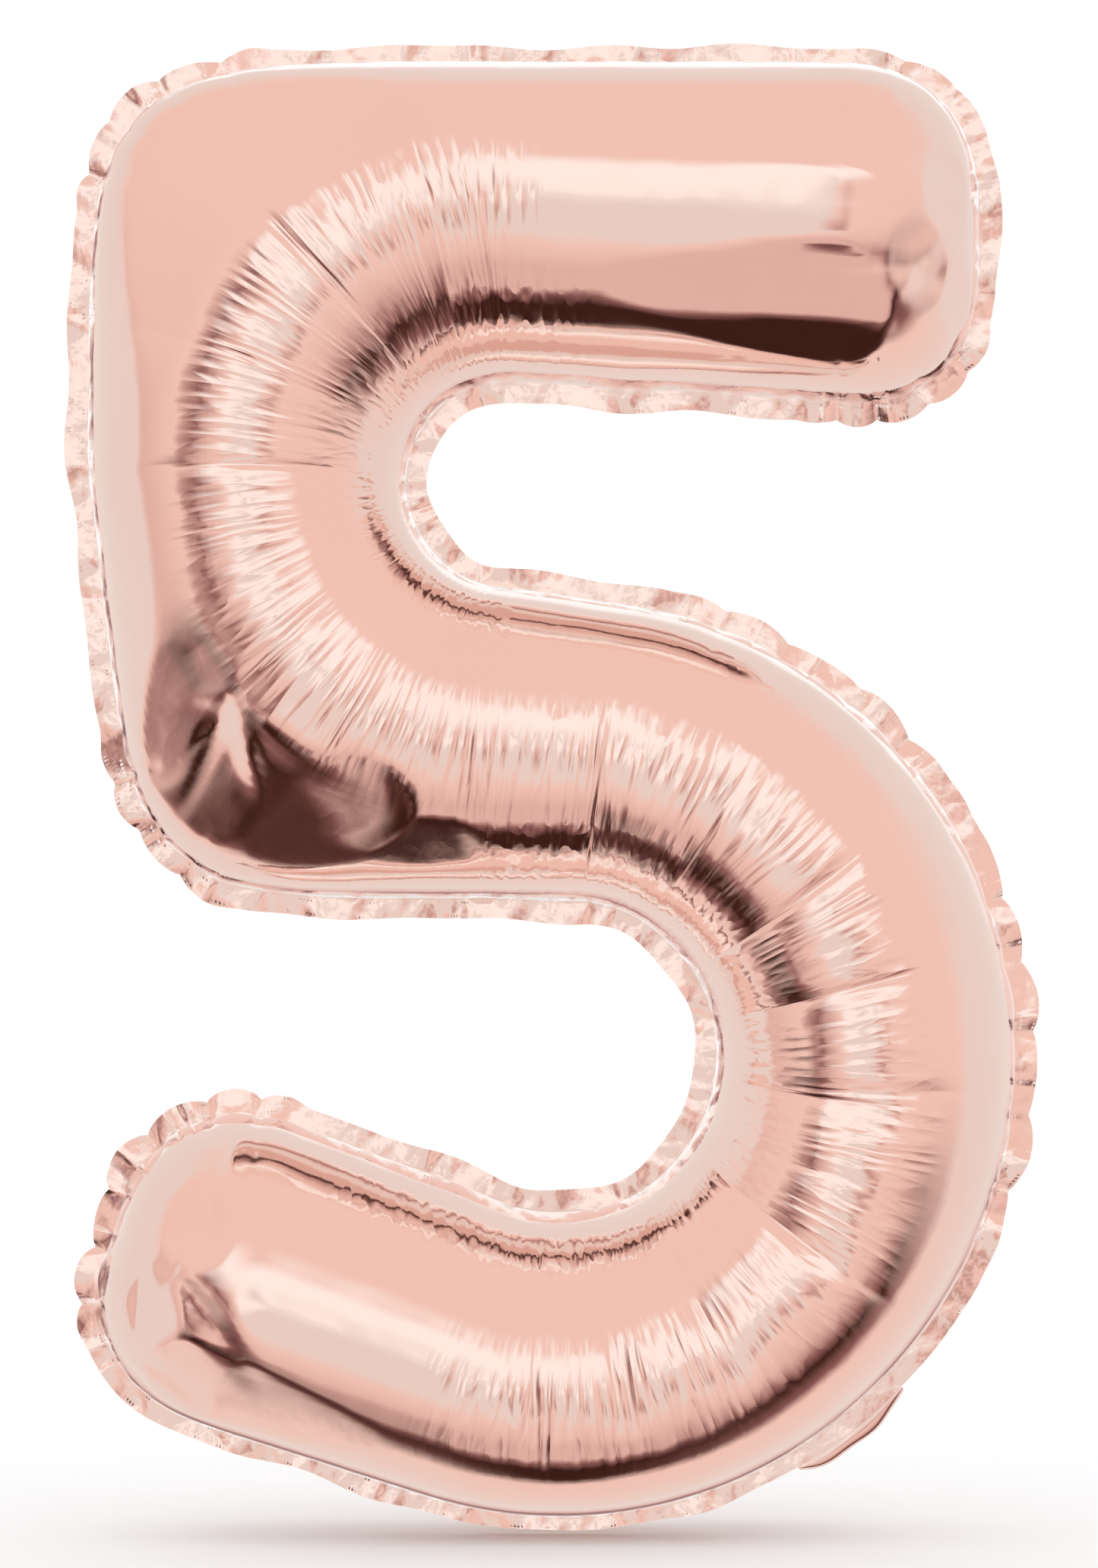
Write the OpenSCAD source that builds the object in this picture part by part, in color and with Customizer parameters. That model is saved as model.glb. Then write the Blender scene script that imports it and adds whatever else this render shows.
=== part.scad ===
// Foil number balloon, the figure 5, filled with gas and with its filling tail folded back.
// The face of the figure looks along -Y. Two foil panels meet in the plane y = 0, where
// their edges are welded into a flat rim. The origin is the point on the rim where a ribbon
// is tied, at the fold of the tail.

/* [Figure] */
// Radius of the seam round the inside of the bowl
bowl_in_r = 81; // [60:1:100]
// Width of the tube round the bowl, from seam to seam
bowl_w = 153; // [120:1:190]
// Angle that the bowl turns through, from straight up to where the hook runs straight
bowl_turn = 199; // [170:1:210]
// Radius of the seam at the inner end of the upper gap
turn_in_r = 53; // [40:1:70]
// How far the inner end of the upper gap lies to the left of the bowl's centre
turn_back = 26; // [10:1:60]
// Width of the middle bar, from seam to seam
middle_w = 160; // [125:1:195]
// Width of the upright stem, from seam to seam
stem_w = 163; // [125:1:195]
// How far the foot of the stem leans in from upright
stem_lean = 28; // [0:1:40]
// Fall of the middle bar where it passes from the gap's round end to the bowl, in degrees
middle_fall = 8; // [0:1:12]
// Width of the top bar where it meets the stem
top_w = 161; // [125:1:195]
// Width of the top bar near its free end
top_end_w = 176; // [130:1:205]
// Length of the top bar, from the centre of the gap's round end to the free end
top_len = 243; // [150:1:300]
// Length of the rounded part at the free end of the top bar
top_cap = 80; // [50:1:110]
// Length of the hook, from the end of the bowl to its tip
hook_len = 189; // [130:1:200]
// Width of the tube near the tip of the hook
hook_end_w = 164; // [130:1:195]
// Length of the rounded part at the tip of the hook
hook_cap = 84; // [50:1:100]
// Squareness of the two outer corners of the stem, 2 for a round one
corner_power = 5.5; // [3:0.5:8]
// Squareness of the free end of the top bar, 2 for a round one
top_cap_power = 2.6; // [2:0.1:4]
// Squareness of the tip of the hook, 2 for a round one
hook_cap_power = 2.4; // [2:0.1:4]

/* [Depth] */
// Height of one foil panel over the plane of the seam
panel_rise = 81; // [60:1:95]
// How much more a wide corner rises, as a share of its extra width
corner_swell = 0.15; // [0:0.05:0.5]

/* [Rim and film] */
// Width of the flat rim outside the seam
rim_w = 11; // [8:1:16]
// Thickness that stands in for one foil film
foil_t = 0.8; // [0.6:0.1:1.2]
// Bare margin between the weld and each edge of the rim
weld_margin = 1.5; // [1:0.5:3]

/* [Valve] */
// Width of the two valve films
valve_w = 40; // [30:1:48]
// Length of the valve films inside the balloon, past the seam
valve_len = 88; // [60:1:110]
// Thickness that stands in for one valve film
valve_t = 0.3; // [0.2:0.1:0.4]
// Thickness of the heat-resistant print that keeps the throat open
print_t = 0.1; // [0.1:0.1:0.2]
// Width of the print
print_w = 28; // [16:1:29]
// Length of the print past the seam, into the balloon
print_past = 6; // [3:1:12]

/* [Tail] */
// Direction of the tail, in degrees below the bowl's right side
tail_angle = 52; // [40:1:70]
// Width of the tail at the rim
tail_root_w = 68; // [60:1:80]
// Width of the tail at its free end
tail_end_w = 56; // [54:1:70]
// Length of the tail
tail_len = 86; // [60:1:100]
// Angle that the tail is folded back through, from lying flat with the rim
tail_fold = 110; // [90:1:112]
// Width of the weld along each side of the tail
tail_weld_w = 5; // [3:0.5:6]
// Gap between the rim and the tail at the fold
fold_gap = 2.5; // [2.5:0.5:4]

/* [Hidden] */

foil_colour = "#e8b9ad";
inner_foil_colour = "#dcdcdc";
weld_colour = "#efd2c8";
film_colour = "#e9e6df";
print_colour = "#b9d3e6";

// Steps along the tube and across it
cap_steps = 7;
bar_steps = 4;
turn_steps = 24;
bowl_steps = 30;
hook_steps = 4;
across_steps = 14;

// Flat left at the very tip of each rounded end, so that the first rib has a length
tip_flat = 1.5;
// Gap between the throat film and the flap, where the flap bends
flap_gap = 0.5;
// Extra length by which cuts pass through
eps = 1;

bowl_out_r = bowl_in_r + bowl_w;
rim_r = bowl_out_r + rim_w;
turn_centre = [-turn_back, bowl_in_r + middle_w + turn_in_r];
top_edge = turn_centre.y + turn_in_r + top_w;
film_gap = 2 * valve_t + print_t;

// ---------------------------------------------------------------- plane geometry

function polar(r, a) = r * [cos(a), sin(a)];

// Height of a rounded end, 0 at the tip and 1 where the tube has its full size
function end_shape(share, power) =
    share >= 1 ? 1 : pow(1 - pow(1 - share, power), 1 / power);

// Distance from the centre to the side of a rounded box, in direction a
function box_r(a, half_x, half_z) =
    pow(pow(abs(cos(a)) / half_x, corner_power) + pow(abs(sin(a)) / half_z, corner_power),
        -1 / corner_power);

// Steps from the tip to the end of a cap, closer together near the tip
function cap_step(i, cap) = tip_flat + (cap - tip_flat) * (1 - cos(90 * i / cap_steps));

// ---------------------------------------------------------------- ribs of the tube
// A rib is [a, b, rise]: its two ends on the seam and the panel's height over it.
// End a runs along the top, the stem's left side and the inside of the bowl.

function top_rib(from_tip) =
    let (
        x = turn_centre.x + top_len - from_tip,
        width = top_end_w + (top_w - top_end_w) * from_tip / top_len,
        half = width / 2 * end_shape(from_tip / top_cap, top_cap_power),
        mid = top_edge - width / 2
    )
    [[x, mid + half], [x, mid - half], end_shape((from_tip - tip_flat) / panel_rise, 2)];

function turn_rib(a) =
    let (
        usual = a < 180 ? top_w : middle_w,
        half_z = turn_in_r + usual,
        far = box_r(a, turn_in_r + stem_w, half_z),
        depth = max(0, -far * sin(a) / half_z),
        lean = [-stem_lean * depth * cos(a), 0]
    )
    [
        turn_centre + polar(far, a) + lean, turn_centre + polar(turn_in_r, a),
        1 + corner_swell * max(0, (far - turn_in_r) / usual - 1)
    ];

function bowl_rib(a) = [polar(bowl_in_r, a), polar(bowl_out_r, a), 1];

function hook_rib(from_tip) =
    let (
        last = 90 - bowl_turn,
        along = hook_len - from_tip,
        width = hook_end_w + (bowl_w - hook_end_w) * from_tip / hook_len,
        half = width / 2 * end_shape(from_tip / hook_cap, hook_cap_power),
        mid = polar(bowl_in_r + bowl_w / 2, last) + along * [sin(last), -cos(last)]
    )
    [
        mid - polar(half, last), mid + polar(half, last),
        end_shape((from_tip - tip_flat) / panel_rise, 2)
    ];

RIBS = [
    for (i = [0:cap_steps]) top_rib(cap_step(i, top_cap)),
    for (i = [1:bar_steps - 1]) top_rib(top_cap + (top_len - top_cap) * i / bar_steps),
    for (i = [0:turn_steps]) turn_rib(90 + (180 - middle_fall) * i / turn_steps),
    for (i = [0:bowl_steps])
        bowl_rib(90 - middle_fall - (bowl_turn - middle_fall) * i / bowl_steps),
    for (i = [1:hook_steps - 1]) hook_rib(hook_len + (hook_cap - hook_len) * i / hook_steps),
    for (i = [cap_steps:-1:0]) hook_rib(cap_step(i, hook_cap)),
];
last_rib = len(RIBS) - 1;

// ---------------------------------------------------------------- seam and rim

// Point j of rib i, spaced as on a half circle
function rib_share(j) = (1 - cos(180 * j / across_steps)) / 2;
function seam_point(i, j) = RIBS[i][0] + (RIBS[i][1] - RIBS[i][0]) * rib_share(j);

// The seam as a loop of [rib, step]: along ends a, over the hook's tip, back along ends b
LOOP = [
    for (i = [0:last_rib]) [i, 0],
    for (j = [1:across_steps - 1]) [last_rib, j],
    for (i = [last_rib:-1:0]) [i, across_steps],
    for (j = [across_steps - 1:-1:1]) [0, j],
];
loop_n = len(LOOP);
SEAM = [for (k = LOOP) seam_point(k[0], k[1])];

// Direction out of the figure at point k of the seam
function outward(k) =
    let (d = SEAM[(k + 1) % loop_n] - SEAM[(k + loop_n - 1) % loop_n])
    [d.y, -d.x] / norm(d) * -1;

function seam_offset(distance) = [for (k = [0:loop_n - 1]) SEAM[k] - distance * outward(k)];

// ---------------------------------------------------------------- foil panels

// Points of one skin. The inner skin is set in by the film's thickness all round.
function skin(base, set_in) = [
    for (i = [0:last_rib], j = [0:across_steps])
        let (
            rib = RIBS[i],
            mid = (rib[0] + rib[1]) / 2,
            half = (rib[0] - rib[1]) / 2,
            shrunk = half * (1 - set_in / norm(half)),
            p = mid + shrunk * cos(180 * j / across_steps)
        )
        [p.x, -base - panel_rise * rib[2] * sin(180 * j / across_steps), p.y]
];

function rim_edge(base) = [for (p = seam_offset(rim_w)) [p.x, -base, p.y]];

function grid_index(i, j) = i * (across_steps + 1) + j;

module foil_panel() {
    grid_n = (last_rib + 1) * (across_steps + 1);
    inner = grid_n;
    outer_rim = 2 * grid_n;
    inner_rim = outer_rim + loop_n;
    points = concat(
        skin(film_gap / 2 + foil_t, 0),
        skin(film_gap / 2, foil_t),
        rim_edge(film_gap / 2 + foil_t),
        rim_edge(film_gap / 2)
    );
    cells = [for (i = [0:last_rib - 1], j = [0:across_steps - 1]) [
        grid_index(i, j), grid_index(i, j + 1), grid_index(i + 1, j + 1), grid_index(i + 1, j)
    ]];
    edges = [for (k = [0:loop_n - 1])
        let (next = LOOP[(k + 1) % loop_n])
        [grid_index(LOOP[k][0], LOOP[k][1]), grid_index(next[0], next[1]), k, (k + 1) % loop_n]
    ];
    faces = [
        for (c = cells) each [[c[0], c[1], c[2]], [c[0], c[2], c[3]]],
        for (c = cells) each [
            [inner + c[0], inner + c[2], inner + c[1]],
            [inner + c[0], inner + c[3], inner + c[2]]
        ],
        for (e = edges) each [
            [e[0], e[1], outer_rim + e[3]],
            [e[0], outer_rim + e[3], outer_rim + e[2]],
            [inner + e[0], inner_rim + e[3], inner + e[1]],
            [inner + e[0], inner_rim + e[2], inner_rim + e[3]],
            [outer_rim + e[2], outer_rim + e[3], inner_rim + e[3]],
            [outer_rim + e[2], inner_rim + e[3], inner_rim + e[2]]
        ],
    ];
    polyhedron(points, faces, convexity = 10);
}

// Moves the drawing from the bowl's centre to the part's own origin at the tie point
module placed() {
    translate([-rim_r * cos(tail_angle), 0, rim_r * sin(tail_angle)]) children();
}

module front_foil_panel() {
    color(foil_colour) placed() foil_panel();
}

module rear_foil_panel() {
    color(foil_colour) placed() mirror([0, 1, 0]) foil_panel();
}

// The fused layer between the two rims, left out where the valve passes through
module perimeter_weld() {
    color(weld_colour) placed() difference() {
        rotate([90, 0, 0]) linear_extrude(film_gap, center = true) difference() {
            polygon(seam_offset(rim_w - weld_margin));
            polygon(seam_offset(weld_margin));
        }
        rotate([0, tail_angle, 0]) translate([bowl_out_r, 0, 0])
            cube([4 * rim_w, film_gap + eps, valve_w], center = true);
    }
}

// ---------------------------------------------------------------- valve
// In the tail's frame x points out of the figure, z along the rim and y through the films.
// Its origin is on the fold.

module tail_frame() {
    rotate([0, tail_angle, 0]) children();
}

// A strip of film from x0 to x1 that lies on the plane y = y0 and is t thick
module film_strip(x0, x1, width, y0, t) {
    translate([x0, y0, -width / 2]) cube([x1 - x0, t, width]);
}

seam_x = -rim_w;
flap_x = seam_x - print_past;
valve_end_x = seam_x - valve_len;

module valve_rear_film() {
    color(film_colour) tail_frame() film_strip(valve_end_x, 0, valve_w, print_t / 2, valve_t);
}

// The part of the front valve film that is welded in the rim
module valve_throat_film() {
    color(film_colour) tail_frame()
        film_strip(flap_x, 0, valve_w, -print_t / 2 - valve_t, valve_t);
}

module heat_resist_print() {
    color(print_colour) tail_frame()
        film_strip(flap_x, 0, print_w, -print_t / 2, print_t);
}

// The free part of the front valve film, which lifts off the rear one while gas goes in
module valve_front_flap() {
    color(film_colour) tail_frame()
        film_strip(valve_end_x, flap_x - flap_gap, valve_w, -print_t / 2 - valve_t, valve_t);
}

// ---------------------------------------------------------------- tail

// Turns a flat tail about the fold to where it lies behind the figure
module folded() {
    tail_frame() rotate([0, 0, tail_fold]) children();
}

// A tapered sheet in the shape of the tail, narrower by inset on each side
module tail_sheet(y0, t, inset = 0) {
    root = tail_root_w / 2 - inset;
    end = tail_end_w / 2 - inset;
    translate([0, y0 + t, 0]) rotate([90, 0, 0]) linear_extrude(t) polygon([
        [fold_gap, -root], [tail_len, -end], [tail_len, end], [fold_gap, root]
    ]);
}

module tail_front_foil() {
    color(foil_colour) folded() tail_sheet(-film_gap / 2 - foil_t, foil_t);
}

module tail_rear_foil() {
    color(inner_foil_colour) folded() tail_sheet(film_gap / 2, foil_t);
}

module tail_side_welds() {
    color(weld_colour) folded() difference() {
        tail_sheet(-film_gap / 2, film_gap);
        tail_sheet(-film_gap / 2 - eps, film_gap + 2 * eps, tail_weld_w);
        translate([0, -film_gap, -valve_w / 2 - print_t])
            cube([2 * tail_len, 2 * film_gap, valve_w + 2 * print_t]);
    }
}

module tail_valve_front_film() {
    color(film_colour) folded()
        film_strip(fold_gap, tail_len, valve_w, -print_t / 2 - valve_t, valve_t);
}

module tail_valve_rear_film() {
    color(film_colour) folded()
        film_strip(fold_gap, tail_len, valve_w, print_t / 2, valve_t);
}

front_foil_panel();
rear_foil_panel();
perimeter_weld();
valve_rear_film();
valve_throat_film();
heat_resist_print();
valve_front_flap();
tail_front_foil();
tail_rear_foil();
tail_side_welds();
tail_valve_front_film();
tail_valve_rear_film();
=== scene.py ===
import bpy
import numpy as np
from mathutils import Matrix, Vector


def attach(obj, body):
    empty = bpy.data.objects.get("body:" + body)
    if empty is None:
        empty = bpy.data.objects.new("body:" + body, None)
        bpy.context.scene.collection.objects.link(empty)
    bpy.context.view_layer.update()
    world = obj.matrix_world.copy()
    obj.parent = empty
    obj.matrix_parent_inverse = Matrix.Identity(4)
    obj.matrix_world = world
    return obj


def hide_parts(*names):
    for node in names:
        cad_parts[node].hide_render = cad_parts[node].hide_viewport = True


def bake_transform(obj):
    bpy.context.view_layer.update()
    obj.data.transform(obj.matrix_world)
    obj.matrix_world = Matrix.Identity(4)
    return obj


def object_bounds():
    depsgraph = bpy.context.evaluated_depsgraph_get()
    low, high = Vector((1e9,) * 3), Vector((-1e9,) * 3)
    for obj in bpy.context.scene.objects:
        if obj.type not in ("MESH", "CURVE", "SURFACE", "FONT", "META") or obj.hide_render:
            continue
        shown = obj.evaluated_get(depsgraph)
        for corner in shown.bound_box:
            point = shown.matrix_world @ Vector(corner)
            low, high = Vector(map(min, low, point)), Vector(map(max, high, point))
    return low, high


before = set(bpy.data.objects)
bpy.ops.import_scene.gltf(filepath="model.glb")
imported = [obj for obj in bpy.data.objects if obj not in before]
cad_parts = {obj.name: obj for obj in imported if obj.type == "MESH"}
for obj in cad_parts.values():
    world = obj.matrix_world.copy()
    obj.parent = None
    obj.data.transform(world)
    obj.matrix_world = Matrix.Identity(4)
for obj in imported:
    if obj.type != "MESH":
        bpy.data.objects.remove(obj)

# %% [markdown]
# # Foil number balloon
# The balloon is two sheets of metallised film, cut to the outline of the figure, welded round
# the edge and filled with gas. Film of this kind bends but doesn't stretch. So the gas makes a
# smooth round tube where the figure runs straight, and the film gathers into fine pleats where
# the tube goes round a bend. The weld stays as a flat, wavy rim.
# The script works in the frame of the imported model. Its shapes are worked out in millimetres, in
# the plane of the figure with the bowl's centre at (0, 0), and turned into metres at the end.

MM = 0.001
cad_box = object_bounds()
print("packed box, mm:", [round(x / MM, 1) for corner in cad_box for x in corner])

# %% [markdown]
# ## The sizes of the figure
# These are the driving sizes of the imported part. The visual pieces follow the same outline, so
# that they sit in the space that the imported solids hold.

# %% Sizes of the figure, in millimetres and degrees
BOWL_IN_R = 81
BOWL_W = 153
BOWL_TURN = 199
TURN_IN_R = 53
TURN_BACK = 26
MIDDLE_W = 160
STEM_W = 163
STEM_LEAN = 28
MIDDLE_FALL = 8
TOP_W = 161
TOP_END_W = 176
TOP_LEN = 243
TOP_CAP = 80
HOOK_LEN = 189
HOOK_END_W = 164
HOOK_CAP = 84
CORNER_POWER = 5.5
TOP_CAP_POWER = 2.6
HOOK_CAP_POWER = 2.4
PANEL_RISE = 81
CORNER_SWELL = 0.15
RIM_W = 11
TIP_FLAT = 1.5
TAIL_ANGLE = 52

BOWL_OUT_R = BOWL_IN_R + BOWL_W
TURN_CENTRE = np.array([-TURN_BACK, BOWL_IN_R + MIDDLE_W + TURN_IN_R], float)
TOP_EDGE = TURN_CENTRE[1] + TURN_IN_R + TOP_W
tail_way = np.radians(-TAIL_ANGLE)
TIE_POINT = (BOWL_OUT_R + RIM_W) * np.array([np.cos(tail_way), np.sin(tail_way)])
print("bowl's centre from the tie point, mm:", -TIE_POINT.round(2))

# %% [markdown]
# ## Ribs
# A rib is a line across the tube, from one seam to the other. The figure is a row of ribs: along
# the top bar, round the turn at the left, round the bowl and along the hook. One could also draw
# the outline and let a fill tool make the mesh, but then the faces would run in no direction.
# With ribs, every row of faces runs across the tube, just as the real pleats do.

# %% Rib functions
def polar(radius, degrees):
    angle = np.radians(degrees)
    return radius * np.cos(angle), radius * np.sin(angle)


def end_shape(share, power):
    """Height of a rounded end, 0 at its tip and 1 where the tube has its full size."""
    return (1 - np.clip(1 - share, 0, 1) ** power) ** (1 / power)


def rails(ax, az, bx, bz, rise):
    """Rows of a rib's two ends on the seam and its height, as one array."""
    return np.stack(np.broadcast_arrays(ax, az, bx, bz, rise), -1)


def top_ribs(from_tip):
    x = TURN_CENTRE[0] + TOP_LEN - from_tip
    width = TOP_END_W + (TOP_W - TOP_END_W) * from_tip / TOP_LEN
    half = width / 2 * end_shape(from_tip / TOP_CAP, TOP_CAP_POWER)
    mid = TOP_EDGE - width / 2
    return rails(x, mid + half, x, mid - half, end_shape((from_tip - TIP_FLAT) / PANEL_RISE, 2))


def turn_ribs(degrees):
    usual = np.where(degrees < 180, TOP_W, MIDDLE_W)
    half_x = TURN_IN_R + STEM_W
    half_z = TURN_IN_R + usual
    cos, sin = polar(1, degrees)
    far = (np.abs(cos / half_x) ** CORNER_POWER + np.abs(sin / half_z) ** CORNER_POWER)
    far = far ** (-1 / CORNER_POWER)
    lean = -STEM_LEAN * np.maximum(0, -far * sin / half_z) * cos
    swell = CORNER_SWELL * np.maximum(0, (far - TURN_IN_R) / usual - 1)
    return rails(
        TURN_CENTRE[0] + far * cos + lean, TURN_CENTRE[1] + far * sin,
        TURN_CENTRE[0] + TURN_IN_R * cos, TURN_CENTRE[1] + TURN_IN_R * sin, 1 + swell,
    )


def bowl_ribs(degrees):
    return rails(*polar(BOWL_IN_R, degrees), *polar(BOWL_OUT_R, degrees), 1.0)


def hook_ribs(from_tip):
    last = 90 - BOWL_TURN
    along = HOOK_LEN - from_tip
    width = HOOK_END_W + (BOWL_W - HOOK_END_W) * from_tip / HOOK_LEN
    half = width / 2 * end_shape(from_tip / HOOK_CAP, HOOK_CAP_POWER)
    cos, sin = polar(1, last)
    mid_x = (BOWL_IN_R + BOWL_W / 2) * cos + along * sin
    mid_z = (BOWL_IN_R + BOWL_W / 2) * sin - along * cos
    rise = end_shape((from_tip - TIP_FLAT) / PANEL_RISE, 2)
    return rails(mid_x - half * cos, mid_z - half * sin, mid_x + half * cos, mid_z + half * sin, rise)


# %% [markdown]
# ## Stations along the tube
# The ribs stand close together in the bends, where each fine pleat needs a few of them, and
# further apart on the straight stretches. The spacing is measured along the crest of the tube.

# %% Stations
FINE_STEP = 1.15
PLAIN_STEP = 1.7
DRAFT = 400
draft = np.concatenate([
    top_ribs(TOP_CAP + (TIP_FLAT - TOP_CAP) * np.cos(np.linspace(0, np.pi / 2, DRAFT))),
    top_ribs(np.linspace(TOP_CAP, TOP_LEN, DRAFT)[1:]),
    turn_ribs(np.linspace(90, 270 - MIDDLE_FALL, 3 * DRAFT)[1:]),
    bowl_ribs(np.linspace(90 - MIDDLE_FALL, 90 - BOWL_TURN, 3 * DRAFT)),
    hook_ribs(np.linspace(HOOK_LEN, HOOK_CAP, DRAFT)[1:]),
    hook_ribs(HOOK_CAP + (TIP_FLAT - HOOK_CAP) * np.sin(np.linspace(0, np.pi / 2, DRAFT))[1:]),
])


def crest_length(rows):
    crest = np.stack([(rows[:, 0] + rows[:, 2]) / 2, PANEL_RISE * rows[:, 4],
                      (rows[:, 1] + rows[:, 3]) / 2], -1)
    steps = np.linalg.norm(np.diff(crest, axis=0), axis=1)
    return np.concatenate([[0], np.cumsum(steps)])


def resample(rows, places, wanted):
    return np.stack([np.interp(wanted, places, rows[:, k]) for k in range(rows.shape[1])], -1)


def smooth_rows(rows, half_window):
    """Averages each row with its neighbours. The ends are mirrored, so they stay in place."""
    n = half_window
    padded = np.concatenate([
        2 * rows[:1] - rows[n:0:-1], rows, 2 * rows[-1:] - rows[-2:-n - 2:-1]])
    weights = np.hanning(2 * n + 3)[1:-1]
    weights /= weights.sum()
    return np.stack([np.convolve(padded[:, k], weights, "valid") for k in range(rows.shape[1])], -1)


even = crest_length(draft)
draft = smooth_rows(resample(draft, even, np.arange(0, even[-1], 0.5)), 24)
even = crest_length(draft)
total = even[-1]
turn_start = even[np.argmin(np.abs(draft[:, 0] - TURN_CENTRE[0]) + (even > total / 3) * 999)]
hook_start = even[np.argmin(np.linalg.norm(
    draft[:, :2] - np.array(polar(BOWL_IN_R, 90 - BOWL_TURN)), axis=1))]
in_bends = (even > turn_start - 25) & (even < hook_start + 15)
count = np.concatenate([[0], np.cumsum(np.diff(even) / np.where(in_bends, FINE_STEP, PLAIN_STEP)[1:])])
wanted = np.interp(np.linspace(0, count[-1], int(count[-1]) + 1), count, even)
ribs = resample(draft, even, wanted)
along = wanted
rib_n = len(ribs)
print("crest length, mm:", round(total), " stations:", rib_n)

# %% [markdown]
# ## The skin of one panel
# Seen end on, the tube is round: each panel is half of it. On the wide corners of the stem the
# crest stays over the bend. There the section is a piece of the same circle, then a straight slope
# out to the corner, then a tight round that meets the seam square on.

# %% Skin
ACROSS = 66
SLOPE = np.radians(32)
ROUND_HALF_W = 82
CREST_CREEP = 0.15
HALF_STEPS = ACROSS // 2
outer_is_a = along < (turn_start + hook_start) / 2 - 60
rib_w = np.linalg.norm(ribs[:, 2:4] - ribs[:, 0:2], axis=1)
rise = PANEL_RISE * ribs[:, 4]
half_w = rib_w / 2
full_height = np.interp(rise, (0.9 * PANEL_RISE, 0.99 * PANEL_RISE), (0, 1))
spare = np.clip(half_w - ROUND_HALF_W, 0, None) * full_height
near_half = half_w - (1 - CREST_CREEP) * spare
far_half = rib_w - near_half
steps = np.linspace(0, 1, HALF_STEPS + 1)[None]


def quarter(reach, top):
    """Distance from the crest and height of an elliptic quarter, from the crest to the seam."""
    turn = steps * np.pi / 2
    return reach[:, None] * np.sin(turn), top[:, None] * np.cos(turn)


def sloping_quarter(reach, top):
    """A circle, a straight slope and a tight round, evenly spaced along their whole length."""
    line = (reach - top) * (1 + np.sin(SLOPE))
    small = (top - reach * np.sin(SLOPE)) / (1 - np.sin(SLOPE))
    first = (top * SLOPE)[:, None]
    second = first + (line / np.cos(SLOPE))[:, None]
    third = second + (small * (np.pi / 2 - SLOPE))[:, None]
    at = steps * third
    turn = np.minimum(at / top[:, None], SLOPE)
    on_line = np.clip(at - first, 0, second - first)
    bend = SLOPE + np.clip(at - second, 0, None) / small[:, None]
    out = top[:, None] * np.sin(turn) + on_line * np.cos(SLOPE)
    down = top[:, None] * (1 - np.cos(turn)) + on_line * np.sin(SLOPE)
    out = out + small[:, None] * (np.sin(bend) - np.sin(SLOPE)) * (at > second)
    down = down + small[:, None] * (np.cos(SLOPE) - np.cos(bend)) * (at > second)
    return out, top[:, None] - down


near_out, near_up = quarter(near_half, rise)
far_out, far_up = quarter(far_half, rise)
bent_out, bent_up = sloping_quarter(np.maximum(far_half, rise), np.maximum(rise, 1))
wide = np.interp(far_half - rise, (1, 12), (0, 1))[:, None] * full_height[:, None]
far_out = far_out + (bent_out - far_out) * wide
far_up = far_up + (bent_up - far_up) * wide
from_outer = np.concatenate([(far_half[:, None] - far_out)[:, ::-1], far_half[:, None] + near_out[:, 1:]], 1)
up_outer = np.concatenate([far_up[:, ::-1], near_up[:, 1:]], 1)
share_outer = from_outer / rib_w[:, None]
share = np.where(outer_is_a[:, None], share_outer, 1 - share_outer[:, ::-1])
height = np.where(outer_is_a[:, None], up_outer, up_outer[:, ::-1])
share[:, 0], share[:, -1] = 0, 1
height[:, 0], height[:, -1] = 0, 0
plane = ribs[:, None, 0:2] + (ribs[:, None, 2:4] - ribs[:, None, 0:2]) * share[..., None]
turn_angle = np.pi * np.arange(ACROSS + 1) / ACROSS
print("skin grid:", plane.shape[:2], " highest, mm:", height.max().round(1))

# %% [markdown]
# ## The seam and its lobes
# Where the outline bends outwards, the flat rim has more length than it needs. It gathers into a
# row of rounded lobes with a sharp nick between each two. Where the outline bends inwards or runs
# straight, the rim stays smooth. Each row of lobes is given by where it starts and ends.

# %% Seam loop
rows_up = np.arange(rib_n)
inner_steps = np.arange(1, ACROSS)
loop_i = np.concatenate([rows_up, np.full(ACROSS - 1, rib_n - 1), rows_up[::-1], np.zeros(ACROSS - 1, int)])
loop_j = np.concatenate([np.zeros(rib_n, int), inner_steps, np.full(rib_n, ACROSS), inner_steps[::-1]])
seam = plane[loop_i, loop_j]


def around(values, half_window):
    """Averages a closed row with its neighbours, weighted by a bell."""
    n = half_window
    weights = np.hanning(2 * n + 3)[1:-1]
    weights /= weights.sum()
    padded = np.concatenate([values[-n:], values, values[:n]])
    return np.stack([np.convolve(padded[:, k], weights, "valid") for k in range(values.shape[1])], -1)


loop_step = np.linalg.norm(np.roll(seam, -1, 0) - seam, axis=1)
seam_at = np.concatenate([[0], np.cumsum(loop_step)[:-1]])
seam_total = loop_step.sum()
tangent = np.roll(seam, -1, 0) - np.roll(seam, 1, 0)
outward = np.stack([-tangent[:, 1], tangent[:, 0]], -1)
outward /= np.linalg.norm(outward, axis=1)[:, None]
outward = around(outward, 5)
outward /= np.linalg.norm(outward, axis=1)[:, None]
middle = seam.mean(0)
outer_side = seam[np.argmax(seam[:, 0])] - middle
if outward[np.argmax(seam[:, 0])] @ outer_side < 0:
    outward = -outward
print("seam length, mm:", seam_total.round())

# %% Lobes of the rim
LOBE_RNG = np.random.default_rng(5)
# start x, start z, end x, end z, lobes, height of a lobe
LOBE_ROWS = [
    (-142, 511, -232, 430, 5, 3.4),
    (-228, 172, -160, 82, 4, 3.0),
    (118, 340, 212, 384, 5, 2.6),
    (140, 500, 205, 455, 3, 1.8),
    (52, 228, 190, 128, 5, 2.6),
    (196, 118, 205, -110, 6, 3.2),
    (-125, -32, -228, -150, 7, 4.0),
]


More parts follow.
